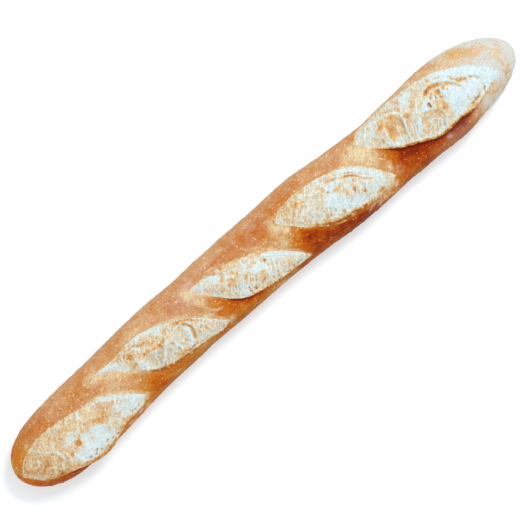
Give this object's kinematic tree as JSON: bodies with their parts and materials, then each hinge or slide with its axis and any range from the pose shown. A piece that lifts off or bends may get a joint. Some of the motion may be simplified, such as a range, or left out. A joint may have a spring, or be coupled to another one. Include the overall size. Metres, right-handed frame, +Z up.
{
  "type": "baguette",
  "caption": "Long hearth-baked stick loaf with a flat underside, rounded ends and slanting scores that have opened into pale crumb behind lifted ears of crust.",
  "frame": {"origin": "middle of the loaf's footprint, on the surface that its flat underside rests on", "axes": "+X along the loaf towards its paler, blunter end; +Y across it, away from the side that the ears lean out over; +Z up"},
  "size_m": [0.561, 0.0738, 0.0507],
  "materials": {
    "crust": "matte",
    "crumb": "matte"
  },
  "bodies": {
    "root": {"baguette": "crust"}
  },
  "joints": []
}
